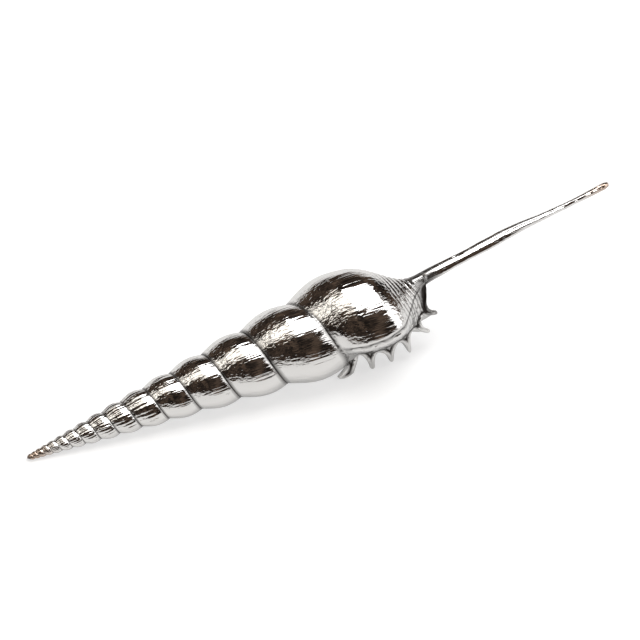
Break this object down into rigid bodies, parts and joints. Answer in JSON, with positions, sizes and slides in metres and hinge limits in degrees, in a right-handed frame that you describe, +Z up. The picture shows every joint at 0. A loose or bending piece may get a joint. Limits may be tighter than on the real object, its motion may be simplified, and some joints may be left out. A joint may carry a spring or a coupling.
{
  "type": "tibia shell",
  "caption": "Slender spindle-shaped sea shell with a tall pointed spire, a fingered outer lip and a long straight canal spine, coated in polished silver.",
  "frame": {"origin": "centre of the bounding box's bottom face, on the surface the shell lies on", "axes": "+X from the pointed apex towards the tip of the canal, +Y away from the outer lip, +Z up"},
  "size_m": [0.2178, 0.0356, 0.0374],
  "materials": {
    "silver_coating": "polished silver coating over the shell, darker in the sutures and copper-brown at both tips"
  },
  "bodies": {
    "root": {"tibia_shell": "silver_coating"}
  },
  "joints": []
}
